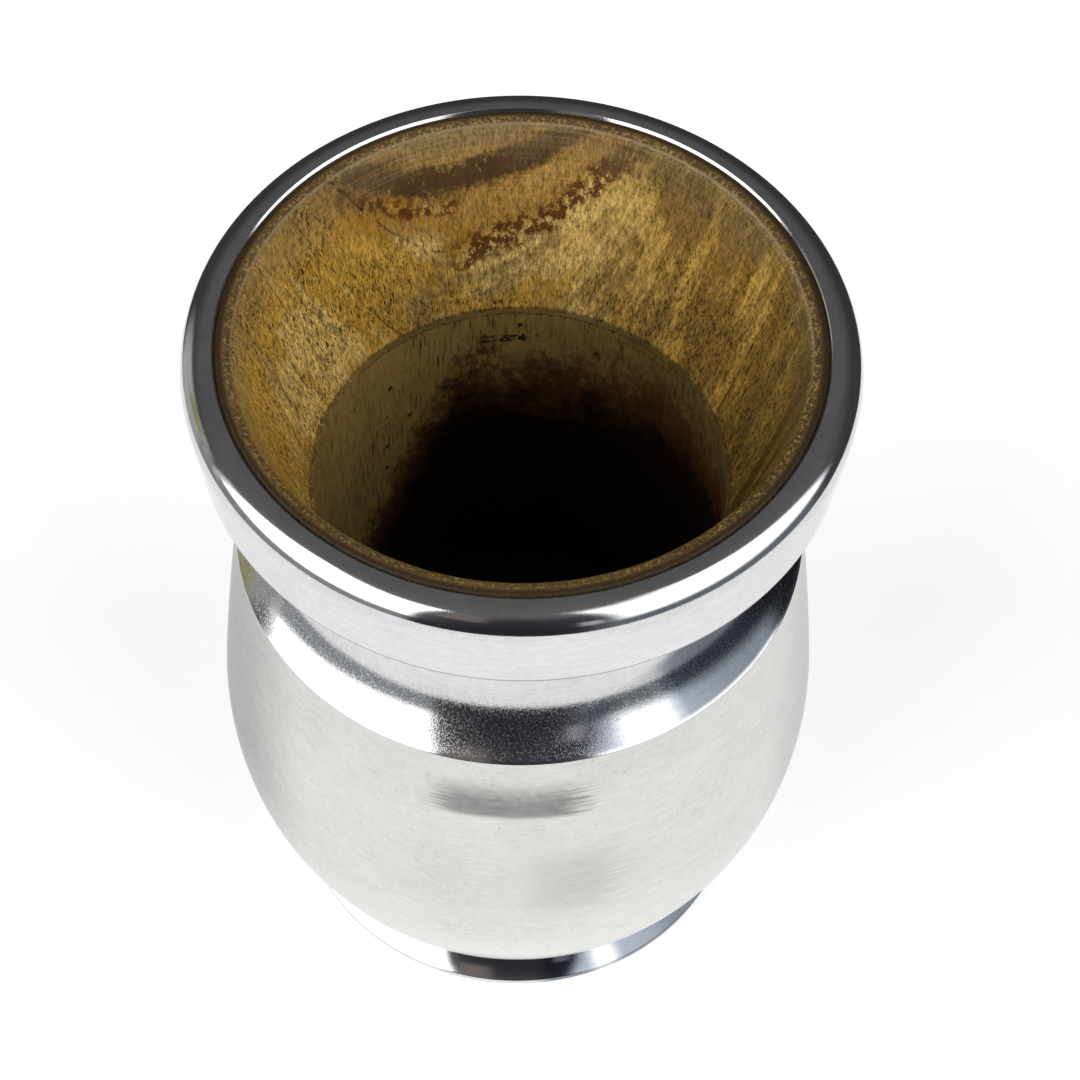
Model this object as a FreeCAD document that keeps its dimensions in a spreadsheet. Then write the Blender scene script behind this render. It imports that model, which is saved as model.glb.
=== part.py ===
import FreeCAD, Part
import math
import os
import Sketcher

# A mate cup: a turned and polished aluminium jacket round a turned wooden liner.
# Every piece is a body of revolution about Z. Z = 0 is the plane the foot stands on.

# Driving sizes in mm: alias, value, meaning. A "drop" is measured down from the top face.
SIZES = [
    ("total_height", 106.2, "foot to top face"),
    ("rim_corner_radius", 40.85, "top of the rim band before its edge is rounded"),
    ("rim_rounding", 3.2, "rounding of the rim's outer edge"),
    ("band_edge_radius", 39.35, "sharp lower edge of the rim band"),
    ("band_drop", 12.9, "depth of the rim band"),
    ("neck_arc", 13.8, "radius of the hollow that forms the neck"),
    ("shoulder_radius", 36.15, "sharp upper edge of the body"),
    ("shoulder_drop", 37.2, "depth of the shoulder"),
    ("flank_drop", 65.2, "where the flank runs into the belly"),
    ("belly_radius", 39.5, "widest point of the body"),
    ("belly_drop", 69.9, "depth of the widest point"),
    ("belly_arc", 52.8, "radius of the belly's outline"),
    ("crease_drop", 102.4, "where the belly meets the foot"),
    ("foot_arc", 9.0, "radius of the foot's hollow"),
    ("foot_radius", 31.4, "outside of the foot"),
    ("foot_edge", 1.0, "height of the foot's upright edge"),
    ("foot_chamfer", 0.3, "broken edge round the underside"),
    ("seat_radius", 36.2, "where wood and metal meet at the mouth"),
    ("seat_chamfer", 0.35, "broken inner edge of the metal"),
    ("seat_mouth_drop", 9.0, "depth of the straight seat at the mouth"),
    ("seat_neck_radius", 28.2, "seat inside the neck"),
    ("seat_neck_top_drop", 22.0, "upper end of the straight seat in the neck"),
    ("seat_neck_bottom_drop", 30.0, "lower end of the straight seat in the neck"),
    ("seat_belly_drop", 50.0, "where the seat reaches the belly's wall"),
    ("jacket_wall", 2.5, "metal thickness round the belly"),
    ("seat_floor_drop", 101.2, "underside of the wood"),
    ("lip_radius", 34.1, "mouth of the funnel before its edge is rounded"),
    ("lip_rounding", 1.6, "rounding of the wooden lip"),
    ("throat_radius", 26.4, "lower end of the funnel"),
    ("throat_drop", 27.2, "depth of the throat"),
    ("throat_step", 0.5, "ledge at the throat"),
    ("bore_floor_drop", 88.0, "depth of the cup"),
    ("bore_floor_rounding", 9.0, "rounding between the bore and its floor"),
]

AXIS_SIDE = 0.0
PART_FOLDER = "parts"

doc = FreeCAD.newDocument("mate_cup")
sheet = doc.addObject("Spreadsheet::Sheet", "Sizes")
for row, (alias, value, meaning) in enumerate(SIZES, start=1):
    sheet.set(f"A{row}", alias)
    sheet.set(f"B{row}", str(value))
    sheet.set(f"C{row}", meaning)
    sheet.setAlias(f"B{row}", alias)
doc.recompute()


def size(alias):
    """A driving size as a plain number, for placing sketch geometry near its solution."""
    return float(sheet.get(alias))


def cell(alias):
    return f"<<Sizes>>.{alias}"


def height(drop_alias):
    """Height above the foot of a feature that is given by its drop from the top face."""
    return size("total_height") - size(drop_alias)


def height_cell(drop_alias):
    return f"{cell('total_height')} - {cell(drop_alias)}"


class Outline:
    """A closed half section on the XZ plane of one body, drawn upwards from the axis."""

    def __init__(self, body, name):
        self.sketch = body.newObject("Sketcher::SketchObject", name)
        plane = next(p for p in body.Origin.OriginFeatures if p.Role == "XZ_Plane")
        self.sketch.AttachmentSupport = (plane, [""])
        self.sketch.MapMode = "FlatFace"
        self.ends = []

    def line(self, start, end):
        """A straight edge between two (radius, height) points."""
        geometry = Part.LineSegment(FreeCAD.Vector(*start, 0), FreeCAD.Vector(*end, 0))
        index = self.sketch.addGeometry(geometry, False)
        self.ends.append((index, 1, 2))
        return index

    def arc(self, start, end, radius, hollow=False):
        """An arc between two points, the upper one last; hollow curves in towards the axis."""
        chord = FreeCAD.Vector(end[0] - start[0], end[1] - start[1], 0)
        middle = FreeCAD.Vector((start[0] + end[0]) / 2, (start[1] + end[1]) / 2, 0)
        reach = math.sqrt(radius ** 2 - (chord.Length / 2) ** 2)
        outward = FreeCAD.Vector(chord.y, -chord.x, 0).normalize()
        centre = middle + outward * (reach if hollow else -reach)
        angles = [math.atan2(y - centre.y, x - centre.x) for x, y in (start, end)]
        if hollow:
            angles.reverse()
        if angles[1] < angles[0]:
            angles[1] += 2 * math.pi
        circle = Part.Circle(centre, FreeCAD.Vector(0, 0, 1), radius)
        index = self.sketch.addGeometry(Part.ArcOfCircle(circle, *angles), False)
        self.ends.append((index, 2, 1) if hollow else (index, 1, 2))
        return index

    def close(self, smooth_after=()):
        """Joins each edge to the next, tangent after the named edges."""
        following = self.ends[1:] + self.ends[:1]
        for (this, _, this_end), (other, other_start, _) in zip(self.ends, following):
            joint = "Tangent" if this in smooth_after else "Coincident"
            self.constrain(joint, this, this_end, other, other_start)

    def constrain(self, *definition):
        return self.sketch.addConstraint(Sketcher.Constraint(*definition))

    def bind(self, name, expression, *definition):
        """A named dimension whose value is worked out from the sheet."""
        index = self.constrain(*definition)
        self.sketch.renameConstraint(index, name)
        self.sketch.setExpression(f"Constraints.{name}", expression)

    def place_end(self, name, index, radius_cell=None, height_expression=None):
        """Dimensions the far end of an edge from the axis and from the foot plane."""
        point = next(end for geometry, _, end in self.ends if geometry == index)
        position = self.sketch.getPoint(index, point)
        if radius_cell:
            self.bind(f"{name}_radius", radius_cell, "DistanceX", -1, 1, index, point, position.x)
        if height_expression:
            self.bind(f"{name}_height", height_expression,
                      "DistanceY", -1, 1, index, point, position.y)


def revolve(body, outline, kind, name):
    """A full turn of an outline about the body's Z axis, as a Revolution or a Groove."""
    feature = body.newObject(f"PartDesign::{kind}", name)
    feature.Profile = outline.sketch
    feature.ReferenceAxis = (outline.sketch, ["V_Axis"])
    feature.Angle = 360
    doc.recompute()
    return feature


def circle_edge(feature, radius, at_height):
    """The name of the feature's circular edge with this radius at this height."""
    for number, edge in enumerate(feature.Shape.Edges, start=1):
        if not isinstance(edge.Curve, Part.Circle):
            continue
        near_radius = abs(edge.Curve.Radius - radius) < 0.01
        if near_radius and abs(edge.Curve.Center.z - at_height) < 0.01:
            return f"Edge{number}"
    raise ValueError(f"no circular edge of radius {radius} at height {at_height}")


def round_edge(body, base, edge_name, name, radius_alias):
    fillet = body.newObject("PartDesign::Fillet", name)
    fillet.Base = (base, [edge_name])
    fillet.setExpression("Radius", cell(radius_alias))
    doc.recompute()
    return fillet


def break_edge(body, base, edge_name, name, size_alias):
    chamfer = body.newObject("PartDesign::Chamfer", name)
    chamfer.Base = (base, [edge_name])
    chamfer.setExpression("Size", cell(size_alias))
    doc.recompute()
    return chamfer


def belly_x(at_height):
    """Radius of the belly's arc at a height."""
    rise = at_height - height("belly_drop")
    return size("belly_radius") - size("belly_arc") + math.sqrt(size("belly_arc") ** 2 - rise ** 2)


def jacket_outline(body):
    """The outside of the jacket: foot, belly, shoulder, hollow neck and rim band."""
    top = size("total_height")
    foot = (size("foot_radius"), size("foot_edge"))
    crease = (belly_x(height("crease_drop")), height("crease_drop"))
    hip = (belly_x(height("flank_drop")), height("flank_drop"))
    shoulder = (size("shoulder_radius"), height("shoulder_drop"))
    band = (size("band_edge_radius"), height("band_drop"))
    rim = (size("rim_corner_radius"), top)
    flank_start = 600.0

    outline = Outline(body, "JacketOutline")
    base = outline.line((AXIS_SIDE, 0), (foot[0], 0))
    edge = outline.line((foot[0], 0), foot)
    foot_hollow = outline.arc(foot, crease, size("foot_arc"), hollow=True)
    belly = outline.arc(crease, hip, size("belly_arc"))
    flank = outline.arc(hip, shoulder, flank_start)
    neck = outline.arc(shoulder, band, size("neck_arc"), hollow=True)
    rim_band = outline.line(band, rim)
    face = outline.line(rim, (AXIS_SIDE, top))
    axis = outline.line((AXIS_SIDE, top), (AXIS_SIDE, 0))
    outline.close(smooth_after=[belly])

    outline.constrain("Coincident", base, 1, -1, 1)
    for level in (base, face):
        outline.constrain("Horizontal", level)
    for upright in (edge, axis):
        outline.constrain("Vertical", upright)
    outline.place_end("foot", edge, cell("foot_radius"), cell("foot_edge"))
    outline.bind("foot_arc", cell("foot_arc"), "Radius", foot_hollow, size("foot_arc"))
    outline.place_end("crease", foot_hollow, None, height_cell("crease_drop"))
    outline.bind("belly_arc", cell("belly_arc"), "Radius", belly, size("belly_arc"))
    outline.bind("belly_height", height_cell("belly_drop"),
                 "DistanceY", -1, 1, belly, 3, height("belly_drop"))
    outline.bind("belly_reach", f"{cell('belly_arc')} - {cell('belly_radius')}",
                 "DistanceX", belly, 3, -1, 1, size("belly_arc") - size("belly_radius"))
    outline.place_end("hip", belly, None, height_cell("flank_drop"))
    outline.place_end("shoulder", flank, cell("shoulder_radius"), height_cell("shoulder_drop"))
    outline.bind("neck_arc", cell("neck_arc"), "Radius", neck, size("neck_arc"))
    outline.place_end("band", neck, cell("band_edge_radius"), height_cell("band_drop"))
    outline.place_end("rim", rim_band, cell("rim_corner_radius"), cell("total_height"))
    return outline


def seat_outline(body):
    """The surface where wood and metal meet, the same in both bodies."""
    top = size("total_height")
    wall_arc = size("belly_arc") - size("jacket_wall")
    floor = height("seat_floor_drop")

    def wall_x(at_height):
        rise = at_height - height("belly_drop")
        return size("belly_radius") - size("belly_arc") + math.sqrt(wall_arc ** 2 - rise ** 2)

    low = (wall_x(floor), floor)
    high = (wall_x(height("seat_belly_drop")), height("seat_belly_drop"))
    neck_low = (size("seat_neck_radius"), height("seat_neck_bottom_drop"))
    neck_high = (size("seat_neck_radius"), height("seat_neck_top_drop"))
    mouth_low = (size("seat_radius"), height("seat_mouth_drop"))
    mouth_high = (size("seat_radius"), top)

    outline = Outline(body, "SeatOutline")
    base = outline.line((AXIS_SIDE, floor), low)
    belly = outline.arc(low, high, wall_arc)
    below_neck = outline.line(high, neck_low)
    neck = outline.line(neck_low, neck_high)
    above_neck = outline.line(neck_high, mouth_low)
    mouth = outline.line(mouth_low, mouth_high)
    face = outline.line(mouth_high, (AXIS_SIDE, top))
    axis = outline.line((AXIS_SIDE, top), (AXIS_SIDE, floor))
    outline.close()

    for level in (base, face):
        outline.constrain("Horizontal", level)
    for upright in (neck, mouth, axis):
        outline.constrain("Vertical", upright)
    outline.constrain("PointOnObject", base, 1, -2)
    outline.place_end("floor", base, None, height_cell("seat_floor_drop"))
    outline.bind("belly_arc", f"{cell('belly_arc')} - {cell('jacket_wall')}",
                 "Radius", belly, wall_arc)
    outline.bind("belly_height", height_cell("belly_drop"),
                 "DistanceY", -1, 1, belly, 3, height("belly_drop"))
    outline.bind("belly_reach", f"{cell('belly_arc')} - {cell('belly_radius')}",
                 "DistanceX", belly, 3, -1, 1, size("belly_arc") - size("belly_radius"))
    outline.place_end("wall_top", belly, None, height_cell("seat_belly_drop"))
    outline.place_end("neck", below_neck, cell("seat_neck_radius"),
                      height_cell("seat_neck_bottom_drop"))
    outline.place_end("neck_top", neck, None, height_cell("seat_neck_top_drop"))
    outline.place_end("mouth", above_neck, cell("seat_radius"), height_cell("seat_mouth_drop"))
    outline.place_end("face", mouth, None, cell("total_height"))
    return outline


def cup_outline(body):
    """The space inside the wood: a straight bore, a ledge and the funnel above it."""
    top = size("total_height")
    floor = height("bore_floor_drop")
    bore_radius = size("throat_radius") - size("throat_step")
    throat = (size("throat_radius"), height("throat_drop"))

    outline = Outline(body, "CupOutline")
    base = outline.line((AXIS_SIDE, floor), (bore_radius, floor))
    bore = outline.line((bore_radius, floor), (bore_radius, throat[1]))
    ledge = outline.line((bore_radius, throat[1]), throat)
    funnel = outline.line(throat, (size("lip_radius"), top))
    face = outline.line((size("lip_radius"), top), (AXIS_SIDE, top))
    axis = outline.line((AXIS_SIDE, top), (AXIS_SIDE, floor))
    outline.close()

    for level in (base, ledge, face):
        outline.constrain("Horizontal", level)
    for upright in (bore, axis):
        outline.constrain("Vertical", upright)
    outline.constrain("PointOnObject", base, 1, -2)
    outline.place_end("floor", base, f"{cell('throat_radius')} - {cell('throat_step')}",
                      height_cell("bore_floor_drop"))
    outline.place_end("throat", ledge, cell("throat_radius"), height_cell("throat_drop"))
    outline.place_end("lip", funnel, cell("lip_radius"), cell("total_height"))
    return outline


def build_jacket():
    """One-piece metal jacket, open at the top and closed by a flat base."""
    body = doc.addObject("PartDesign::Body", "Jacket")
    body.Label = "jacket"
    turned = revolve(body, jacket_outline(body), "Revolution", "TurnedOutside")
    solid_volume = turned.Shape.Volume
    seat = revolve(body, seat_outline(body), "Groove", "WoodSeat")
    if seat.Shape.Volume >= solid_volume:
        raise RuntimeError("the seat for the wood cuts nothing")
    rim = circle_edge(seat, size("rim_corner_radius"), size("total_height"))
    rounded = round_edge(body, seat, rim, "RoundedRim", "rim_rounding")
    mouth = circle_edge(rounded, size("seat_radius"), size("total_height"))
    broken = break_edge(body, rounded, mouth, "BrokenMouthEdge", "seat_chamfer")
    foot = circle_edge(broken, size("foot_radius"), 0.0)
    body.Tip = break_edge(body, broken, foot, "BrokenFootEdge", "foot_chamfer")
    body.Placement = FreeCAD.Placement()
    return body


def build_liner():
    """Wooden core that fills the jacket, hollowed as a funnel over a straight bore."""
    body = doc.addObject("PartDesign::Body", "Liner")
    body.Label = "liner"
    core = revolve(body, seat_outline(body), "Revolution", "TurnedCore")
    core_volume = core.Shape.Volume
    hollow = revolve(body, cup_outline(body), "Groove", "CupSpace")
    if hollow.Shape.Volume >= core_volume:
        raise RuntimeError("the cup's space cuts nothing")
    lip = circle_edge(hollow, size("lip_radius"), size("total_height"))
    lipped = round_edge(body, hollow, lip, "RoundedLip", "lip_rounding")
    bore_radius = size("throat_radius") - size("throat_step")
    floor = circle_edge(lipped, bore_radius, height("bore_floor_drop"))
    body.Tip = round_edge(body, lipped, floor, "RoundedFloor", "bore_floor_rounding")
    body.Placement = FreeCAD.Placement()
    return body


pieces = [build_jacket(), build_liner()]
doc.recompute()

for item in doc.Objects:
    if "Invalid" in item.State or "Error" in item.State:
        raise RuntimeError(f"{item.Name} failed: {item.State}")
for sketch in doc.findObjects("Sketcher::SketchObject"):
    if sketch.solve() != 0:
        raise RuntimeError(f"{sketch.Name} has no solution")
for piece in pieces:
    if piece.Shape.isNull() or not piece.Shape.isValid():
        raise RuntimeError(f"{piece.Label} has no valid shape")

os.makedirs(PART_FOLDER, exist_ok=True)
for piece in pieces:
    piece.Shape.exportStep(os.path.join(PART_FOLDER, f"{piece.Label}.step"))
    box = piece.Shape.optimalBoundingBox()
    print(f"{piece.Label}: {piece.Shape.Volume / 1000:.1f} cm3, "
          f"{box.XLength:.2f} x {box.YLength:.2f} x {box.ZLength:.2f} mm, "
          f"{len(piece.Shape.Solids)} solid")
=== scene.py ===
import math
from types import SimpleNamespace

import bpy
from mathutils import Matrix, Vector, noise


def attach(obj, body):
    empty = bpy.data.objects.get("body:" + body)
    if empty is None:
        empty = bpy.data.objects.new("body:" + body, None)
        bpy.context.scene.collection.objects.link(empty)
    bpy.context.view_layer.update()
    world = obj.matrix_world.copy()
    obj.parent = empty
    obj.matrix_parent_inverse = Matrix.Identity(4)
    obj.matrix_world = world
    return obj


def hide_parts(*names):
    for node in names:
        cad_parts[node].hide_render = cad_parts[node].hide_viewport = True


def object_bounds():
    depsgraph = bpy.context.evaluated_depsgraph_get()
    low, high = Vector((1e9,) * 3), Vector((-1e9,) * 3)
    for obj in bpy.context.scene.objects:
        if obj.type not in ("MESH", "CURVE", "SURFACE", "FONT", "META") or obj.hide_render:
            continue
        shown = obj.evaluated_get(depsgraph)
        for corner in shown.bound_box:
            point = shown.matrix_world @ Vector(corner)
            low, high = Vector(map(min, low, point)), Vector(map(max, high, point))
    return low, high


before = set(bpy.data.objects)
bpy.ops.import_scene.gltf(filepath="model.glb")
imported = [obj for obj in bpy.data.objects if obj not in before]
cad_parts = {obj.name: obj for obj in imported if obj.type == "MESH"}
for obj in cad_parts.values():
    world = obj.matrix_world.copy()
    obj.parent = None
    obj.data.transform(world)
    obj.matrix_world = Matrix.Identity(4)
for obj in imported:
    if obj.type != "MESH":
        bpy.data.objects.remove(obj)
cad_low, cad_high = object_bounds()

MM = 0.001
TOP = cad_high.z / MM

# The cup's outline in mm, as in the CAD model. Drops are measured down from the top face.
RIM_CORNER_RADIUS = 40.85
RIM_ROUNDING = 3.2
BAND_EDGE = (39.35, TOP - 12.9)
NECK_ARC = 13.8
SHOULDER = (36.15, TOP - 37.2)
FLANK_ARC = 630.0
HIP_HEIGHT = TOP - 65.2
BELLY_RADIUS = 39.5
BELLY_HEIGHT = TOP - 69.9
BELLY_ARC = 52.8
CREASE_HEIGHT = TOP - 102.4
FOOT_ARC = 9.0
FOOT_EDGE = (31.4, 1.0)
JACKET_WALL = 2.5
SEAT_RADIUS = 36.2
SEAT_CHAMFER = 0.35
SEAT_MOUTH = TOP - 9.0
SEAT_NECK_RADIUS = 28.2
SEAT_NECK_TOP = TOP - 22.0
SEAT_NECK_BOTTOM = TOP - 30.0
SEAT_WALL_TOP = TOP - 50.0
SEAT_FLOOR = TOP - 101.2
LIP_RADIUS = 34.1
LIP_ROUNDING = 1.6
THROAT = (26.4, TOP - 27.2)
THROAT_STEP = 0.5
BORE_FLOOR = TOP - 88.0
BORE_ROUNDING = 9.0

TURNED_STEPS = 320
ROUNDING_STEPS = 24
EDGE_BREAK_STEPS = 6
LARGEST_EDGE_BREAK = 1.0


# ---------------------------------------------------------------- outlines

def line(start, end, steps=1):
    """Points of a straight stretch, both ends included."""
    return [(start[0] + (end[0] - start[0]) * i / steps,
             start[1] + (end[1] - start[1]) * i / steps) for i in range(steps + 1)]


def arc(start, end, radius, steps, bend=1):
    """Points of an arc; bend 1 turns left of the way from start to end, -1 turns right."""
    dx, dy = end[0] - start[0], end[1] - start[1]
    chord = math.hypot(dx, dy)
    reach = math.sqrt(max(radius ** 2 - chord ** 2 / 4, 0.0))
    centre = ((start[0] + end[0]) / 2 - bend * dy / chord * reach,
              (start[1] + end[1]) / 2 + bend * dx / chord * reach)
    first = math.atan2(start[1] - centre[1], start[0] - centre[0])
    sweep = 2 * math.asin(min(chord / 2 / radius, 1.0)) * bend
    return [(centre[0] + radius * math.cos(first + sweep * i / steps),
             centre[1] + radius * math.sin(first + sweep * i / steps)) for i in range(steps + 1)]


def joined(stretches):
    """One outline from stretches, each with the radius that rounds the corner at its end."""
    outline = list(stretches[0][0])
    for (_, rounding), (following, _) in zip(stretches, stretches[1:]):
        if rounding:
            outline, following = rounded_corner(outline, list(following), rounding)
        outline += following[1:]
    return outline


def rounded_corner(before, after, radius):
    """Both stretches, cut back from their shared corner, with a small arc added to the first."""
    corner = Vector(after[0])
    way_in = (corner - Vector(before[-2])).normalized()
    way_out = (Vector(after[1]) - corner).normalized()
    turn = way_in.angle_signed(way_out)
    cut = radius * math.tan(abs(turn) / 2)
    while len(before) > 1 and (Vector(before[-1]) - corner).length < cut * 1.05:
        before.pop()
    while len(after) > 1 and (Vector(after[0]) - corner).length < cut * 1.05:
        after.pop(0)
    first, last = corner - way_in * cut, corner + way_out * cut
    bend = -1 if turn > 0 else 1
    steps = EDGE_BREAK_STEPS if radius < LARGEST_EDGE_BREAK else ROUNDING_STEPS
    return before + arc(tuple(first), tuple(last), radius, steps, bend), [tuple(last)] + after


def belly_x(height, inset=0.0):
    """Radius of the belly at a height, or of the seat inside it."""
    rise = height - BELLY_HEIGHT
    return BELLY_RADIUS - BELLY_ARC + math.sqrt((BELLY_ARC - inset) ** 2 - rise ** 2)


def seat_outline():
    """The surface between wood and metal, from the mouth down to the axis."""
    wall_top = (belly_x(SEAT_WALL_TOP, JACKET_WALL), SEAT_WALL_TOP)
    wall_foot = (belly_x(SEAT_FLOOR, JACKET_WALL), SEAT_FLOOR)
    return [(SEAT_RADIUS, SEAT_MOUTH), (SEAT_NECK_RADIUS, SEAT_NECK_TOP),
            (SEAT_NECK_RADIUS, SEAT_NECK_BOTTOM),
            *arc(wall_top, wall_foot, BELLY_ARC - JACKET_WALL, 12, bend=-1), (0.0, SEAT_FLOOR)]


def jacket_outline():
    """Outside of the metal from the axis under the foot up to the rim, and back down the seat."""
    crease = (belly_x(CREASE_HEIGHT), CREASE_HEIGHT)
    hip = (belly_x(HIP_HEIGHT), HIP_HEIGHT)
    rim = (RIM_CORNER_RADIUS, TOP)
    mouth = (SEAT_RADIUS + SEAT_CHAMFER, TOP)
    chamfer = (SEAT_RADIUS, TOP - SEAT_CHAMFER)
    return joined([
        (line((0.0, 0.0), (FOOT_EDGE[0], 0.0), 4), 0.3),
        (line((FOOT_EDGE[0], 0.0), FOOT_EDGE, 3), 0.2),
        (arc(FOOT_EDGE, crease, FOOT_ARC, 16, bend=-1), 0.15),
        (arc(crease, hip, BELLY_ARC, 64), 0.0),
        (arc(hip, SHOULDER, FLANK_ARC, 36), 0.25),
        (arc(SHOULDER, BAND_EDGE, NECK_ARC, 64, bend=-1), 0.3),
        (line(BAND_EDGE, rim, 18), RIM_ROUNDING),
        (line(rim, mouth, 12), 0.12),
        (line(mouth, chamfer, 2), 0.1),
        (line(chamfer, (SEAT_RADIUS, SEAT_MOUTH), 3), 0.0),
        (seat_outline(), 0.0),
    ])


def liner_outline():
    """The wood from the axis on the bore's floor up to the lip, and back down the seat."""
    bore_radius = THROAT[0] - THROAT_STEP
    floor_edge = (bore_radius, BORE_FLOOR)
    lip = (LIP_RADIUS, TOP)
    joint = (SEAT_RADIUS, TOP)
    return joined([
        (line((0.0, BORE_FLOOR), floor_edge, 8), BORE_ROUNDING),
        (line(floor_edge, (bore_radius, THROAT[1]), 60), 0.12),
        (line((bore_radius, THROAT[1]), THROAT, 3), 0.08),
        (line(THROAT, lip, 90), LIP_ROUNDING),
        (line(lip, joint, 6), 0.45),
        (line(joint, (SEAT_RADIUS, SEAT_MOUTH), 3), 0.0),
        (seat_outline(), 0.0),
    ])


# ---------------------------------------------------------------- meshes

def turned(name, outline, shift):
    """A closed smooth mesh made by turning an outline about Z; shift moves each point a little."""
    rings = outline[1:-1]
    points = [Vector((0, 0, outline[0][1]))]
    for radius, height in rings:
        for step in range(TURNED_STEPS):
            angle = 2 * math.pi * step / TURNED_STEPS
            point = Vector((radius * math.cos(angle), radius * math.sin(angle), height))
            points.append(point + shift(point))
    points.append(Vector((0, 0, outline[-1][1])))

    def index(ring, step):
        return 1 + ring * TURNED_STEPS + step % TURNED_STEPS

    last = len(rings) - 1
    faces = []
    for step in range(TURNED_STEPS):
        faces.append((0, index(0, step + 1), index(0, step)))
        faces.append((len(points) - 1, index(last, step), index(last, step + 1)))
        for ring in range(last):
            faces.append((index(ring, step), index(ring, step + 1),
                          index(ring + 1, step + 1), index(ring + 1, step)))
    mesh = bpy.data.meshes.new(name)
    mesh.from_pydata([p * MM for p in points], [], faces)
    mesh.shade_smooth()
    piece = bpy.data.objects.new(name, mesh)
    bpy.context.collection.objects.link(piece)
    return piece


def outward(point):
    return Vector((point.x, point.y, 0)).normalized()


def metal_shift(point):
    """Slight waves that hand polishing leaves, of about a hundredth of a millimetre."""
    wave = noise.noise(point * 0.11) * 0.010 + noise.noise(point * 0.3 + Vector((7, 3, 1))) * 0.003
    return outward(point) * wave


def wood_shift(point):
    """An uneven surface, by a few hundredths of a millimetre, everywhere but on the top face."""
    uneven = noise.noise(Vector((point.x * 0.35, point.y * 0.35, point.z * 0.12))) * 0.05
    return outward(point) * uneven if point.z < TOP - 0.3 else Vector((0, 0, 0))


# ---------------------------------------------------------------- shader graphs

class Graph:
    """Short calls that add shader nodes and link them."""

    def __init__(self, tree):
        self.tree = tree
        tree.nodes.clear()

    def node(self, kind, settings=None, **inputs):
        made = self.tree.nodes.new(kind)
        for name, value in (settings or {}).items():
            setattr(made, name, value)
        for name, value in inputs.items():
            self.feed(made.inputs[name.replace("_", " ")], value)
        return made

    def feed(self, socket, value):
        if isinstance(value, bpy.types.NodeSocket):
            self.tree.links.new(value, socket)
        else:
            socket.default_value = value

    def math(self, operation, *values):
        made = self.node("ShaderNodeMath", {"operation": operation})
        for socket, value in zip(made.inputs, values):
            self.feed(socket, value)
        return made.outputs[0]

    def add(self, *values):
        total = values[0]
        for value in values[1:]:
            total = self.math("ADD", total, value)
        return total

    def times(self, *values):
        product = values[0]
        for value in values[1:]:
            product = self.math("MULTIPLY", product, value)
        return product

    def fade(self, value, start, end):
        """0 before start and 1 after end, smooth between; start may be the larger."""
        low, high, first, last = (start, end, 0.0, 1.0) if start < end else (end, start, 1.0, 0.0)
        made = self.node("ShaderNodeMapRange", {"interpolation_type": "SMOOTHSTEP"})
        numbers = {"From Min": low, "From Max": high, "To Min": first, "To Max": last}
        for name, number in numbers.items():
            made.inputs[name].default_value = number
        self.feed(made.inputs["Value"], value)
        return made.outputs[0]

    def band(self, value, middle, half_width, soft):
        """1 near middle, falling to 0 at half_width plus soft on either side."""
        away = self.math("ABSOLUTE", self.math("SUBTRACT", value, middle))
        return self.fade(away, half_width + soft, half_width)

    def inverse(self, value):
        return self.math("SUBTRACT", 1.0, value)

    def centred(self, value, amount):
        """Noise shifted so that it lies about 0, times an amount."""
        return self.times(self.add(value, -0.5), amount)

    def vector(self, x, y, z):
        made = self.node("ShaderNodeCombineXYZ")
        for socket, value in zip(made.inputs, (x, y, z)):
            self.feed(socket, value)
        return made.outputs[0]

    def grey(self, value):
        return self.vector(value, value, value)

    def noise(self, vector, scale, detail=2.0, roughness=0.5):
        made = self.node("ShaderNodeTexNoise", Vector=vector, Scale=scale, Detail=detail,
                         Roughness=roughness)
        return made.outputs[0]

    def cells(self, vector, scale):
        """Distance to the nearest of many scattered points, and that point's own random number."""
        made = self.node("ShaderNodeTexVoronoi", Vector=vector, Scale=scale)
        own = self.node("ShaderNodeSeparateColor", Color=made.outputs["Color"])
        return made.outputs["Distance"], own.outputs[0]

    def mix(self, factor, first, second, blend="MIX"):
        made = self.node("ShaderNodeMix", {"data_type": "RGBA", "blend_type": blend})
        self.feed(made.inputs[0], factor)
        for socket, value in ((made.inputs[6], first), (made.inputs[7], second)):
            self.feed(socket, (*value, 1.0) if isinstance(value, tuple) else value)
        return made.outputs[2]

    def multiply(self, first, second, share=1.0):
        """The first colour, with a share of it multiplied by the second."""
        return self.mix(share, first, second, "MULTIPLY")

    def position(self):
        """The point's own place in mm: x, y, z and the whole vector."""
        place = self.node("ShaderNodeTexCoord").outputs["Object"]
        scaled = self.node("ShaderNodeVectorMath", {"operation": "SCALE"}, Vector=place)
        scaled.inputs["Scale"].default_value = 1 / MM
        parts = self.node("ShaderNodeSeparateXYZ", Vector=scaled.outputs[0])
        return *parts.outputs, scaled.outputs[0]


def new_material(name):
    material = bpy.data.materials.new(name)
    material.use_nodes = True
    return material, Graph(material.node_tree)


# ---------------------------------------------------------------- metal

BRIGHT_METAL = (0.68, 0.68, 0.675)
SATIN_METAL = (0.67, 0.664, 0.64)
PIT_DIRT = (0.16, 0.135, 0.09)
# painted reflection: a dim bluish tint for the right of the neck and foot
DIM_REFLECTION_TINT = (0.31, 0.34, 0.39)
# painted reflection: near black, further round the right of the neck and foot
DARK_REFLECTION_COLOUR = (0.055, 0.060, 0.072)
EDGE_SHADOW = (0.12, 0.12, 0.12)
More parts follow.
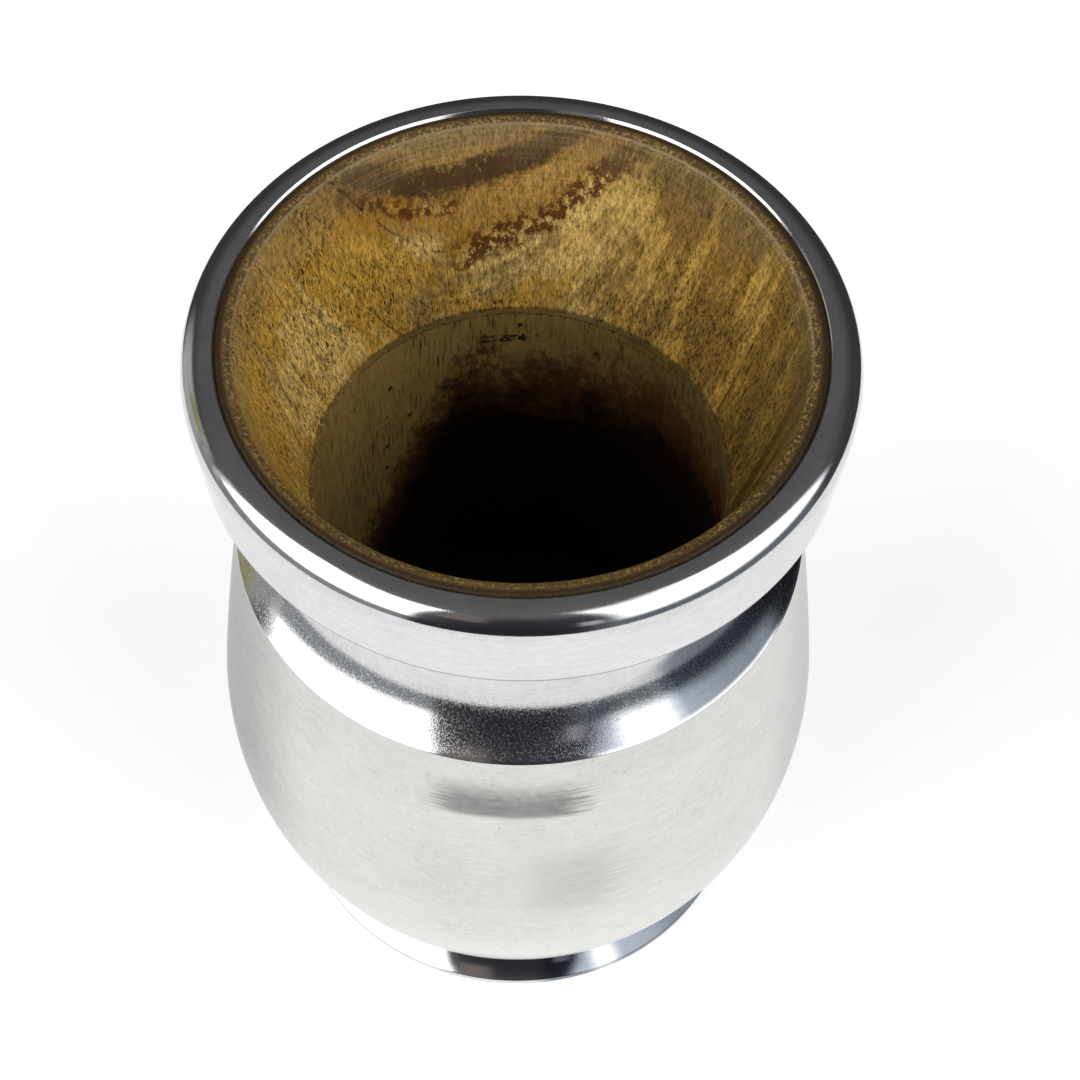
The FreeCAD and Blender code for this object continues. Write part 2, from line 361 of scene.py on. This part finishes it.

# Where the marks on the metal are. A turn is the angle round the cup from the front towards +X,
# in radians; the rest is in mm. A pair says where a mark starts and where it is full; three
# numbers are the middle of a band, half its width and its soft edge.
# The painted dim and dark reflections on the right of the neck and foot, and the gap in each where
# a highlight falls.
NECK_DIM_REFLECTION_TURN = (0.12, 0.34)
NECK_DIM_REFLECTION_RISE = (3.0, 0.5)
NECK_DIM_REFLECTION_CLIMB = 9.0
FOOT_DIM_REFLECTION_TURN = (0.08, 0.20)
DARK_REFLECTION_TURN = (0.50, 0.90)
DIM_REFLECTION_BACK_TURN = (2.2, 1.5)
NECK_HIGHLIGHT_GAP_TURN = (0.49, 0.05, 0.12)
NECK_HIGHLIGHT_GAP_HEIGHT = (SHOULDER[1] + 9.0, SHOULDER[1] + 3.5)
FOOT_HIGHLIGHT_GAP_TURN = (0.44, 0.01, 0.09)
# A painted dark reflection: an arc across the front of the body.
REFLECTION_ARC_TOP = (39.5, 45.0)
REFLECTION_ARC_FOOT = (48.3, 47.0)
REFLECTION_ARC_TURN = (-0.01, 0.17, 0.14)
SMUDGE_HEIGHT = (TOP - 63.0, 3.0, 7.0)
SMUDGE_TURN = (0.20, 0.06, 0.16)
# Painted shade on the flanks of the body: where it starts and where it is full.
LEFT_FLANK_SHADE = (-26.0, -38.5)
RIGHT_FLANK_SHADE = (32.0, 39.0)
EDGE_LINE_HEIGHT = (BAND_EDGE[1] + 0.22, 0.10, 0.14)


def metal_patterns(g, x, y, z, place, satin):
    """Noise for turned lines, hand-rubbed streaks, smudges, mottling, grain and speckle."""
    around = g.math("ARCTAN2", y, x)
    line_place = g.vector(g.times(around, 1.5), 0.0, g.times(z, 7.0))
    streak_place = g.vector(g.times(around, 7.0), g.times(satin, 5.0), g.times(z, 3.2))
    return SimpleNamespace(
        rings=g.noise(line_place, 1.0, 2.0, 0.6),
        streaks=g.noise(streak_place, 1.0, 3.0, 0.65),
        smudge=g.noise(place, 0.07, 2.0, 0.6),
        mottle=g.noise(place, 0.9, 2.0, 0.65),
        grain=g.noise(place, 4.5, 1.0, 0.7),
        speckle=g.fade(g.noise(place, 5.0, 2.0, 0.6), 0.48, 0.62))


def dim_reflection_mask(g, z, turn, neck, smudge):
    """Painted dim reflection low in the neck and round the foot, on the right, left out in one
    place each where a highlight falls.
    """
    foot = g.fade(z, CREASE_HEIGHT, CREASE_HEIGHT - 0.2)
    neck_highlight_gap = g.times(g.band(turn, *NECK_HIGHLIGHT_GAP_TURN), g.fade(z, *NECK_HIGHLIGHT_GAP_HEIGHT), neck)
    foot_highlight_gap = g.times(g.band(turn, *FOOT_HIGHLIGHT_GAP_TURN), foot, 0.8)
    rise = g.add(z, -SHOULDER[1], g.times(turn, -NECK_DIM_REFLECTION_CLIMB))
    on_neck = g.times(neck, g.fade(rise, *NECK_DIM_REFLECTION_RISE), g.fade(turn, *NECK_DIM_REFLECTION_TURN))
    on_foot = g.times(foot, g.fade(turn, *FOOT_DIM_REFLECTION_TURN))
    return g.times(g.math("MAXIMUM", on_neck, on_foot), g.fade(turn, *DIM_REFLECTION_BACK_TURN),
                   g.inverse(g.math("MAXIMUM", neck_highlight_gap, foot_highlight_gap)),
                   g.add(0.72, g.times(smudge, 0.5)))


def metal_tone(g, x, z, turn, satin, metal):
    """Lightness of the metal: a painted dark reflection and a smudge at the front, and painted
    shade on the flanks.
    """
    from_front = g.add(turn, g.centred(metal.streaks, 0.28))
    drop = g.math("SUBTRACT", TOP, g.add(z, g.times(metal.mottle, 0.6)))
    # painted reflection: a dark arc at the front of the body
    reflection_arc = g.times(g.fade(drop, *REFLECTION_ARC_TOP), g.fade(drop, *REFLECTION_ARC_FOOT),
                   g.band(from_front, *REFLECTION_ARC_TURN))
    below = g.times(g.band(z, *SMUDGE_HEIGHT), g.band(from_front, *SMUDGE_TURN), metal.mottle)
    # painted shade: darker flanks, the right one half as dark
    right_flank_shade = g.times(g.fade(x, *RIGHT_FLANK_SHADE), 0.5)
    flank_shade = g.times(satin, g.math("MAXIMUM", g.fade(x, *LEFT_FLANK_SHADE), right_flank_shade))
    return g.add(0.52, g.times(metal.rings, 0.18), g.times(metal.streaks, 0.34),
                 g.times(metal.smudge, 0.22), g.times(metal.mottle, 0.22),
                 g.times(reflection_arc, -0.62), g.times(below, -0.34), g.times(flank_shade, -0.60))


def metal_material():
    """Turned aluminium: bright rim, finely grained neck, satin body with pits and smudges."""
    material, g = new_material("turned_aluminium")
    x, y, z, place = g.position()
    turn = g.math("ARCTAN2", x, g.times(y, -1.0))
    satin = g.times(g.fade(z, SHOULDER[1] + 0.15, SHOULDER[1] - 0.35),
                    g.fade(z, CREASE_HEIGHT - 0.2, CREASE_HEIGHT + 1.0))
    neck = g.times(g.fade(z, BAND_EDGE[1] - 3.0, BAND_EDGE[1] - 9.0),
                   g.fade(z, SHOULDER[1], SHOULDER[1] + 0.4))
    metal = metal_patterns(g, x, y, z, place, satin)
    pit_distance, pit_own = g.cells(place, 1.25)
    pit = g.times(g.fade(pit_distance, 0.15, 0.06), g.fade(pit_own, 0.62, 0.95), satin)
    scratch_place = g.vector(g.times(x, 5.0), g.times(g.add(y, g.times(x, 0.6)), 0.5), z)
    scratch = g.fade(g.noise(scratch_place, 1.0, 1.0, 0.6), 0.68, 0.74)
    # painted dim reflection on the right of the neck and foot
    dim_reflection = dim_reflection_mask(g, z, turn, neck, metal.smudge)
    # painted dark reflection further round to the right
    dark_reflection = g.times(dim_reflection, g.fade(turn, *DARK_REFLECTION_TURN), 0.62)

    colour = g.mix(satin, BRIGHT_METAL, SATIN_METAL)
    colour = g.multiply(colour, g.grey(metal_tone(g, x, z, turn, satin, metal)))
    # painted reflections: dim, then dark further round to the right
    colour = g.mix(dim_reflection, colour, g.multiply(colour, DIM_REFLECTION_TINT))
    colour = g.mix(dark_reflection, colour, DARK_REFLECTION_COLOUR)
    colour = g.mix(g.times(pit, 0.75), colour, PIT_DIRT)
    colour = g.mix(g.times(g.band(z, *EDGE_LINE_HEIGHT), 0.65), colour, EDGE_SHADOW)

    grain_height = g.add(0.0025, g.times(neck, 0.0055), g.times(satin, 0.003))
    height = g.add(g.times(metal.rings, 0.001), g.times(metal.streaks, satin, 0.006),
                   g.times(metal.grain, grain_height), g.times(pit, -0.03))
    bump = g.node("ShaderNodeBump", Height=height, Strength=1.0)
    bump.inputs["Distance"].default_value = MM

    # a sharp gloss, with a small share of a wide haze from the polish
    roughness = g.add(0.085, g.times(satin, 0.16), g.times(metal.smudge, satin, 0.08),
                      g.times(metal.speckle, neck, 0.19), g.times(scratch, 0.10),
                      g.times(pit, 0.3))
    clear = g.node("ShaderNodeBsdfPrincipled", Base_Color=colour, Roughness=roughness,
                   Metallic=1.0, Normal=bump.outputs[0])
    hazy = g.node("ShaderNodeBsdfPrincipled", Base_Color=colour, Roughness=0.42,
                  Metallic=1.0, Normal=bump.outputs[0])
    both = g.node("ShaderNodeMixShader")
    for socket, value in zip(both.inputs, (0.06, clear.outputs[0], hazy.outputs[0])):
        g.feed(socket, value)
    g.node("ShaderNodeOutputMaterial", Surface=both.outputs[0])
    return material


# ---------------------------------------------------------------- wood

PALE_WOOD = (0.78, 0.555, 0.190)
GOLD_WOOD = (0.54, 0.320, 0.058)
BROWN_WOOD = (0.27, 0.150, 0.036)
DULL_WOOD = (0.36, 0.250, 0.095)
WARM_TINT = (0.93, 0.80, 0.48)
ORANGE_LAYER = (0.36, 0.180, 0.028)
RED_LAYER = (0.115, 0.036, 0.009)
DARK_LAYER = (0.060, 0.030, 0.016)
OUTER_TAN = (0.37, 0.240, 0.088)
HAZE = (0.26, 0.185, 0.085)
# painted highlight on the rounded lip
LIP_HIGHLIGHT_COLOUR = (0.42, 0.31, 0.16)
LIP_WOOD = (0.080, 0.046, 0.018)
LIP_FLECK = (0.38, 0.25, 0.070)
BORE_WOOD = (0.33, 0.230, 0.075)
THROAT_DIRT = (0.065, 0.042, 0.010)
PORE = (0.030, 0.016, 0.006)
BROWN_STAIN = (0.085, 0.036, 0.011)
# near-black: stain and painted shade deep in the bore
STAIN_AND_SHADE = (0.010, 0.006, 0.004)

# Where the marks in the wood are, in mm, as pairs and threes like those of the metal.
GRAIN_TURN = math.radians(13.0)
THROAT_DROP = TOP - THROAT[1]
# Growth layers at the back, by distance from the middle of the tree's rings
RING_CENTRE = (14.0, -49.0)
ORANGE_START = (79.9, 80.9)
RED_LINE = (80.15, 0.40, 0.45)
RAGGED_LINE = (81.9, 0.15, 0.5)
DARK_LINE = (83.1, 0.45, 0.45)
TAN_START = (83.6, 84.6)
# Long lines in the grain: side of the cup (-1 is -X), distance across the grain, weight
GRAIN_LINES = [(-1, 24.3, 0.8), (-1, 14.1, 0.7), (-1, 17.8, 0.8), (-1, 28.9, 0.8),
               (1, 4.0, 0.9), (1, -7.9, 0.7), (1, 8.2, 0.6)]
# Radii of the worn lip, the painted highlight ring on it and the grime in the joint with the metal
LIP_START = (LIP_RADIUS + 0.1, LIP_RADIUS + 0.8)
LIP_HIGHLIGHT_BAND = (LIP_RADIUS + 0.45, 0.06, 0.16)
GRIME_START = (SEAT_RADIUS - 0.3, SEAT_RADIUS + 0.4)
# Drops below the top face of the marks in the bore, and the dashes' place across it
BROWN_STAIN_START = (32.0, 42.0)
STAIN_AND_SHADE_START = (40.0, 50.0)
DASHES_DROP = (32.6, 0.5, 0.5)
DASHES_X = (-2.8, 2.6, 1.0)
SECOND_LINE_DROP = (THROAT_DROP + 1.6, 0.05, 0.2)


def wood_patterns(g):
    """A point's place in the cup and in the grain, and the noise that follows the grain."""
    x, y, z, place = g.position()
    drop = g.math("SUBTRACT", TOP, z)
    radius = g.math("POWER", g.add(g.times(x, x), g.times(y, y)), 0.5)
    across = g.add(g.times(x, -math.sin(GRAIN_TURN)), g.times(y, math.cos(GRAIN_TURN)))
    along = g.add(g.times(x, math.cos(GRAIN_TURN)), g.times(y, math.sin(GRAIN_TURN)))
    in_funnel = g.fade(drop, THROAT_DROP + 0.15, THROAT_DROP - 0.15)

    def in_grain(across_scale, along_scale, z_scale):
        return g.vector(g.times(across, across_scale), g.times(along, along_scale),
                        g.times(z, z_scale))

    level_place = g.vector(g.times(x, 0.04), g.times(y, 0.04), g.times(z, 3.2))
    return SimpleNamespace(
        x=x, y=y, z=z, place=place, drop=drop, radius=radius, across=across, in_grain=in_grain,
        in_funnel=in_funnel, in_bore=g.inverse(in_funnel),
        ticks=g.noise(in_grain(4.6, 4.6, 0.35), 1.0, 3.0, 0.75),
        fibres=g.noise(in_grain(1.7, 1.7, 0.25), 1.0, 3.0, 0.65),
        streaks=g.noise(in_grain(0.42, 0.05, 0.03), 1.0, 4.0, 0.65),
        cloudy=g.noise(in_grain(0.17, 0.11, 0.07), 1.0, 3.0, 0.65),
        patches=g.noise(place, 0.06, 2.0, 0.6),
        mixed=g.noise(place, 2.2, 3.0, 0.75),
        turning=g.noise(level_place, 1.0, 3.0, 0.7))


def wood_shade(g, wood):
    """Light and dark in the wood: turning marks near the mouth, fibres, and painted shade on the
    right side, deepest low on the right.
    """
    near_mouth = g.times(g.add(wood.turning, -0.5), g.fade(wood.drop, 14.0, 3.0), 1.6)
    shade = g.add(1.0, near_mouth, g.centred(wood.ticks, 3.2), g.centred(wood.fibres, 2.2),
                  g.centred(wood.streaks, 0.9))
    # painted shade: the right side darker, and more so low down
    right = g.inverse(g.times(g.fade(wood.x, 2.0, 20.0), 0.34))
    low_right_shade = g.inverse(g.times(g.fade(wood.x, 12.0, 26.0), g.fade(wood.y, 16.0, -6.0), 0.62))
    return g.times(g.math("MAXIMUM", shade, 0.15), right, low_right_shade)


def wood_ground(g, wood, grain_and_shade):
    """The pale wood with golden, brown and dull stretches, warmer towards the sides."""
    golden = g.fade(g.add(wood.streaks, g.centred(wood.patches, 0.6), g.times(wood.x, -0.004)),
                    0.47, 0.62)
    brown = g.fade(g.add(g.times(wood.streaks, -1.0), g.times(wood.cloudy, 0.7),
                         g.times(wood.x, 0.003)), -0.13, -0.02)
    dulled = g.fade(g.add(wood.cloudy, g.times(wood.x, 0.003)), 0.50, 0.74)
    colour = g.mix(golden, PALE_WOOD, GOLD_WOOD)
    colour = g.mix(g.times(brown, 0.6), colour, BROWN_WOOD)
    colour = g.mix(g.times(dulled, 0.6), colour, DULL_WOOD)
    colour = g.multiply(colour, grain_and_shade)
    warm = g.math("MAXIMUM", g.fade(wood.x, 0.0, 24.0), g.times(g.fade(wood.x, -10.0, -24.0), 0.4))
    return g.mix(warm, colour, g.multiply(colour, WARM_TINT))


def growth_layers(g, wood, colour, grain_and_shade):
    """The curved layers at the back of the funnel: a red line, orange, a dark line and tan."""
    from_centre = [g.math("SUBTRACT", part, centre)
                   for part, centre in zip((wood.x, wood.y), RING_CENTRE)]
    ring = g.math("POWER", g.add(*[g.times(part, part) for part in from_centre]), 0.5)
    ring = g.add(ring, g.centred(g.noise(wood.place, 0.10, 2.0), 1.6),
                 g.centred(g.noise(wood.place, 0.9, 3.0, 0.7), 1.1))
    broken_place = g.vector(g.times(wood.x, 0.75), g.times(wood.y, 0.75), g.times(wood.z, 0.5))
    broken = g.noise(broken_place, 1.0, 4.0, 0.7)
    back = g.times(wood.in_funnel, g.fade(wood.y, 18.0, 24.0))
    orange = g.times(g.fade(ring, *ORANGE_START), back, 0.75)
    outer = g.times(g.fade(ring, *TAN_START), back, 0.85)
    dark = g.times(g.band(ring, *DARK_LINE), g.fade(broken, 0.30, 0.42), back)
    red = g.times(g.band(ring, *RED_LINE), g.fade(broken, 0.45, 0.52),
                  g.fade(wood.x, -12.0, -7.0), back)
    ragged = g.times(g.band(ring, *RAGGED_LINE), g.fade(broken, 0.46, 0.54),
                     g.fade(wood.x, -6.0, -10.0), back)
    colour = g.mix(orange, colour, g.multiply(ORANGE_LAYER, grain_and_shade, 0.8))
    colour = g.mix(outer, colour, g.multiply(OUTER_TAN, grain_and_shade, 0.8))
    colour = g.mix(g.times(dark, 0.9), colour, DARK_LAYER)
    return g.mix(g.times(g.math("MAXIMUM", red, ragged), 0.95), colour, RED_LAYER)


def wood_vessels(g, wood):
    """Short dark dashes along the grain, denser in patches and near the throat."""
    crowd = g.add(g.noise(wood.place, 0.09, 1.0, 0.6), g.times(g.fade(wood.drop, 6.0, 26.0), 0.20),
                  g.times(g.fade(wood.y, 20.0, 27.0), -0.16))
    fine_distance, fine_own = g.cells(wood.in_grain(4.2, 4.2, 0.3), 1.0)
    fine_size = g.times(fine_own, g.fade(crowd, 0.36, 0.62), 0.50)
    fine = g.fade(g.math("SUBTRACT", fine_distance, fine_size), 0.06, -0.06)
    pore_distance, pore_own = g.cells(wood.in_grain(1.5, 1.5, 0.15), 1.0)
    pore_size = g.times(g.fade(pore_own, 0.55, 1.0), g.fade(crowd, 0.36, 0.66), 0.24)
    pore = g.fade(g.math("SUBTRACT", pore_distance, pore_size), 0.04, -0.04)
    return g.math("MAXIMUM", g.times(fine, 0.8), pore)


def grain_lines(g, wood):
    """Long dark lines where a row of vessels is cut lengthwise."""
    wavy = g.add(wood.across, g.times(wood.fibres, 0.3))
    lines = 0.0
    for side, level, weight in GRAIN_LINES:
        on_side = g.fade(g.times(wood.x, side), 8.0, 12.0)
        one = g.times(g.band(wavy, level + 0.15, 0.01, 0.09), on_side, weight)
        lines = g.math("MAXIMUM", lines, one)
    gaps = g.noise(g.vector(wood.x, wood.y, g.times(wood.z, 1.3)), 0.5, 1.0)
    return g.times(lines, g.fade(gaps, 0.38, 0.56), wood.in_funnel)


def mouth_veil(g, wood, colour, grain_and_shade):
    """A veil of wear over the turning marks near the mouth."""
    near = g.times(g.fade(g.add(wood.drop, g.times(wood.patches, -12.0)), 2.0, -4.0),
                   wood.in_funnel)
    return g.mix(g.times(near, g.times(wood.turning, 0.9)), colour, g.multiply(HAZE, grain_and_shade, 0.7))


def worn_lip(g, wood, colour, lip):
    """The dark flecked lip, a painted highlight ring on it, and grime in the joint with the metal.
    """
    on_top = g.fade(wood.drop, 2.0, 1.0)
    lip_colour = g.mix(g.fade(wood.mixed, 0.48, 0.64), LIP_WOOD, LIP_FLECK)
    # painted highlight: a pale ring on the rounded lip, at the back
    lip_highlight = g.times(g.band(g.add(wood.radius, g.times(wood.mixed, 0.5)), *LIP_HIGHLIGHT_BAND),
                        on_top, g.fade(wood.y, -12.0, 6.0))
    grime = g.times(g.fade(g.add(wood.radius, g.times(wood.mixed, 1.7)), *GRIME_START), on_top)
    colour = g.mix(g.times(lip, 0.9), colour, lip_colour)
    colour = g.mix(g.times(lip_highlight, 0.5), colour, LIP_HIGHLIGHT_COLOUR)
    return g.mix(g.times(grime, 0.92), colour, PORE)


def stained_and_shaded_bore(g, wood, colour, vessels):
    """The bore: greyer wood, stained brown and then near-black from a ragged edge downwards, the
    near-black being stain and painted shade, with dashes and spots.
    """
    # greyer bore wood, with painted shade towards the right
    shade = g.add(0.30, g.times(wood.mixed, 1.2), g.times(wood.fibres, 0.3),
                  g.times(g.fade(wood.x, -6.0, 20.0), -0.6))
    bore_share = g.times(wood.in_bore, g.add(0.85, g.times(vessels, -0.8)))
    colour = g.mix(bore_share, colour, g.multiply(BORE_WOOD, g.grey(shade)))

    ragged = g.add(g.centred(g.noise(wood.place, 0.16, 1.0, 0.6), 14.0),
                   g.centred(g.noise(wood.place, 0.8, 4.0, 0.7), 22.0))
    left_shift = g.times(g.math("MAXIMUM", g.add(g.times(wood.x, -1.0), -9.0), 0.0), -2.2)
    right_shift = g.times(g.fade(wood.x, 4.0, 20.0), 4.0)
    depth = g.add(wood.drop, ragged, left_shift, right_shift)
    colour = g.mix(g.times(g.fade(depth, *BROWN_STAIN_START), wood.in_bore), colour, BROWN_STAIN)
    # stain and painted shade: near-black deeper down
    colour = g.mix(g.times(g.fade(depth, *STAIN_AND_SHADE_START), wood.in_bore), colour, STAIN_AND_SHADE)

    dash_place = g.vector(g.times(wood.x, 0.8), g.times(wood.y, 0.8), g.times(wood.z, 2.0))
    dashes = g.times(g.band(wood.drop, *DASHES_DROP), g.band(wood.x, *DASHES_X),
                     g.fade(wood.y, 10.0, 15.0),
                     g.fade(g.noise(dash_place, 1.0, 2.0, 0.6), 0.47, 0.53))
    spot_distance, spot_own = g.cells(wood.place, 0.30)
    spots = g.times(g.fade(spot_distance, 0.16, 0.08), g.fade(spot_own, 0.30, 0.50), wood.in_bore)
    return g.mix(g.math("MAXIMUM", dashes, spots), colour, PORE)


def throat_lines(g, wood, colour):
    """A dirty line at the step of the throat, and a thinner one below it on the right."""
    fuzzy = g.add(wood.drop, g.centred(wood.mixed, 1.5))
    thin = g.band(fuzzy, THROAT_DROP, 0.02, 0.24)
    wide = g.times(g.band(fuzzy, THROAT_DROP, 0.15, 0.45), g.fade(wood.y, 8.0, 20.0))
    second = g.times(g.band(fuzzy, *SECOND_LINE_DROP), g.fade(wood.x, 8.0, 14.0), 0.6)
    lines = g.math("MAXIMUM", g.math("MAXIMUM", thin, wide), second)
    return g.mix(g.times(lines, 0.8), colour, THROAT_DIRT)


def wood_material():
    """Oiled hardwood cut along the grain: layers, vessels, streaks, and stain down the bore."""
    material, g = new_material("oiled_hardwood")
    wood = wood_patterns(g)
    # grain, turning marks and painted shade on the right, as one multiplier
    grain_and_shade = g.grey(wood_shade(g, wood))
    vessels = wood_vessels(g, wood)
    lines = grain_lines(g, wood)
    lip = g.times(g.fade(g.add(wood.radius, g.times(wood.mixed, 0.9)), *LIP_START),
                  g.fade(wood.drop, 2.2, 1.0))

    colour = growth_layers(g, wood, wood_ground(g, wood, grain_and_shade), grain_and_shade)
    colour = mouth_veil(g, wood, colour, grain_and_shade)
    colour = g.mix(g.times(vessels, 0.95), colour, PORE)
    colour = g.mix(g.times(lines, 0.9), colour, PORE)
    colour = worn_lip(g, wood, colour, lip)
    colour = stained_and_shaded_bore(g, wood, colour, vessels)
    colour = throat_lines(g, wood, colour)

    roughness = g.add(0.34, g.times(wood.fibres, 0.2), g.times(vessels, 0.2))
    height = g.add(g.times(wood.ticks, 0.05), g.times(wood.fibres, 0.04), g.times(vessels, -0.12),
                   g.times(lines, -0.15),
                   g.times(wood.turning, g.fade(wood.drop, 12.0, 2.0), 0.06),
                   g.times(wood.mixed, g.math("MAXIMUM", lip, wood.in_bore), 0.10))
    bump = g.node("ShaderNodeBump", Height=height, Strength=0.9)
    bump.inputs["Distance"].default_value = MM
    shader = g.node("ShaderNodeBsdfPrincipled", Base_Color=colour, Roughness=roughness,
                    Normal=bump.outputs[0])
    shader.inputs["Specular IOR Level"].default_value = 0.25
    g.node("ShaderNodeOutputMaterial", Surface=shader.outputs[0])
    return material


# ---------------------------------------------------------------- surroundings

TABLE_COLOUR = (0.50, 0.50, 0.50, 1.0)
TABLE_LIFT = 0.69


def make_floor():
    """An oval pale table top whose edge the neck and rim reflect, lifted to white where seen."""
    half_width, half_depth, forward, thickness = 0.36, 0.325, 0.145, 0.02
    steps = 160
    turns = [2 * math.pi * i / steps for i in range(steps)]
    edge = [(half_width * math.cos(t), half_depth * math.sin(t) - forward) for t in turns]
    points = [(px, py, 0.0) for px, py in edge] + [(px, py, -thickness) for px, py in edge]
    faces = [tuple(range(steps)), tuple(reversed(range(steps, 2 * steps)))]
    faces += [(i, i + steps, (i + 1) % steps + steps, (i + 1) % steps) for i in range(steps)]
    mesh = bpy.data.meshes.new("floor")
    mesh.from_pydata(points, [], faces)
    floor = bpy.data.objects.new("floor", mesh)
    bpy.context.collection.objects.link(floor)

    material, g = new_material("pale_table")
    paper = g.node("ShaderNodeBsdfDiffuse", Color=TABLE_COLOUR)
    lift = g.node("ShaderNodeEmission", Color=(1.0, 1.0, 1.0, 1.0))
    path = g.node("ShaderNodeLightPath").outputs
    seen = g.math("MAXIMUM", path["Is Camera Ray"],
                  g.math("MAXIMUM", path["Is Glossy Ray"], path["Is Transmission Ray"]))
    g.feed(lift.inputs["Strength"], g.times(seen, TABLE_LIFT))
    both = g.node("ShaderNodeAddShader")
    g.feed(both.inputs[0], paper.outputs[0])
    g.feed(both.inputs[1], lift.outputs[0])
    g.node("ShaderNodeOutputMaterial", Surface=both.outputs[0])
    mesh.materials.append(material)


# Things the room shows around the cup, painted in this order: azimuth from the front (towards
# +X) from and to, soft edge, elevation from and to, soft edge (degrees), strength, colour.
ROOM = [
    (-130, -102, 10, -30, 22, 12, 0.45, (1.0, 1.0, 0.97)),  # pale wall, far left
    (-104, -29, 4, -20, 12, 8, 0.28, (0.92, 0.97, 1.06)),   # below the left window
    (-92, -29, 4, 8, 64, 7, 2.7, (1.0, 1.0, 1.0)),          # left window
    (22, 92, 14, -20, 20, 10, 0.17, (0.86, 0.96, 1.12)),    # below the right window
    (29, 98, 8, 12, 72, 16, 2.1, (0.97, 0.99, 1.02)),       # right window
    (-24, -10, 5, 36, 64, 8, 0.14, (1.15, 0.92, 0.88)),     # dim warm thing, front
    (18, 24, 2, 14, 30, 4, 0.45, (1.05, 0.98, 1.08)),       # small thing by the right window
    (-116, -106, 2, 4, 24, 3, 0.30, (1.05, 1.0, 0.50)),     # yellow thing, far left
    (-96, -93, 1, -6, 34, 4, 0.55, (1.0, 1.0, 0.98)),       # white post
    (-102, -100, 1, -8, 16, 4, 0.40, (1.0, 0.99, 0.95)),    # second white post
]
ROOM_LOW = (0.040, 0.041, 0.046)
ROOM_HIGH = (0.118, 0.117, 0.121)
ROOM_FRONT = (0.010, 0.011, 0.017)


def make_world():
    """A dim room: two large windows in front, left and right, and small things beside them."""
    world = bpy.data.worlds.new("room")
    bpy.context.scene.world = world
    world.use_nodes = True
    g = Graph(world.node_tree)
    way = g.node("ShaderNodeTexCoord").outputs["Generated"]
    parts = g.node("ShaderNodeSeparateXYZ", Vector=way)
    wx, wy, wz = parts.outputs
    azimuth = g.times(g.math("ARCTAN2", wx, g.times(wy, -1.0)), 180 / math.pi)
    elevation = g.times(g.math("ARCSINE", wz), 180 / math.pi)
    colour = g.mix(g.fade(elevation, 10.0, 60.0), ROOM_LOW, ROOM_HIGH)
    front = g.times(g.band(azimuth, 0.0, 40.0, 60.0), g.fade(elevation, 75.0, 45.0))
    colour = g.mix(front, colour, ROOM_FRONT)
    for left, right, side_soft, low, high, end_soft, strength, tint in ROOM:
        wide = g.band(azimuth, (left + right) / 2, (right - left) / 2 - side_soft / 2, side_soft)
        tall = g.band(elevation, (low + high) / 2, (high - low) / 2 - end_soft / 2, end_soft)
        colour = g.mix(g.times(wide, tall), colour, tuple(strength * part for part in tint))
    g.node("ShaderNodeOutputWorld",
           Surface=g.node("ShaderNodeBackground", Color=colour, Strength=1.0).outputs[0])


# ---------------------------------------------------------------- camera

def make_camera():
    """The viewpoint: above the front of the cup, looking down past the rim."""
    pitch, roll = math.radians(55.55), math.radians(1.30)
    offset_from_mouth = Vector((2.62, -224.2, 285.2)) * MM
    data = bpy.data.cameras.new("camera")
    data.lens, data.sensor_width = 102.54, 36.0
    data.clip_start, data.clip_end = 0.01, 20.0
    forward = Vector((0, math.cos(pitch), -math.sin(pitch)))
    level = Vector((0, math.sin(pitch), math.cos(pitch)))
    side = Vector((1, 0, 0))
    right = math.cos(roll) * side + math.sin(roll) * level
    upward = -math.sin(roll) * side + math.cos(roll) * level
    turn = Matrix((right, upward, -forward)).transposed().to_4x4()
    camera = bpy.data.objects.new("camera", data)
    camera.matrix_world = Matrix.Translation(Vector((0, 0, cad_high.z)) + offset_from_mouth) @ turn
    bpy.context.collection.objects.link(camera)
    bpy.context.scene.camera = camera


# ---------------------------------------------------------------- the cup

def make_piece(name, node, outline, shift, material):
    piece = turned(name, outline, shift)
    piece.data.materials.append(material)
    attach(piece, "root")
    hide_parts(node)
    return piece


make_piece("turned_jacket", "jacket", jacket_outline(), metal_shift, metal_material())
make_piece("turned_liner", "liner", liner_outline(), wood_shift, wood_material())
make_floor()
make_world()
make_camera()
bpy.context.scene.view_settings.view_transform = "Standard"
